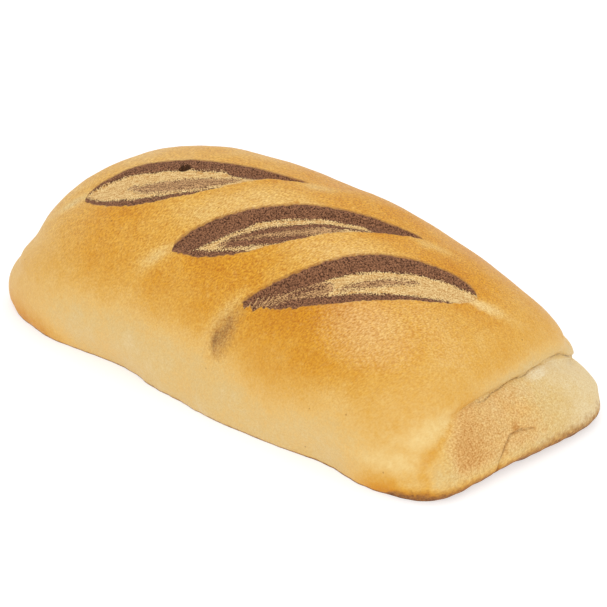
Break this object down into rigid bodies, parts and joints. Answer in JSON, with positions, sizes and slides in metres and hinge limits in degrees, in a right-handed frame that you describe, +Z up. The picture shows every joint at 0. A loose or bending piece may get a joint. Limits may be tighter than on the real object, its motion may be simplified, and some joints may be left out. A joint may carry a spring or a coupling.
{
  "type": "marble rye loaf",
  "caption": "Whole baked marble rye loaf, long with a rounded crown, slanting slashes that show light and dark crumb, and a flat base.",
  "frame": {"origin": "middle of the flat base, on the surface the loaf stands on", "axes": "+X along the loaf towards the end with the overhanging lip, +Z up"},
  "size_m": [0.29, 0.1394, 0.0839],
  "materials": {
    "bread": "satin golden baked crust, matt where the slashes open on light and dark rye crumb"
  },
  "bodies": {
    "root": {"loaf": "bread"}
  },
  "joints": []
}
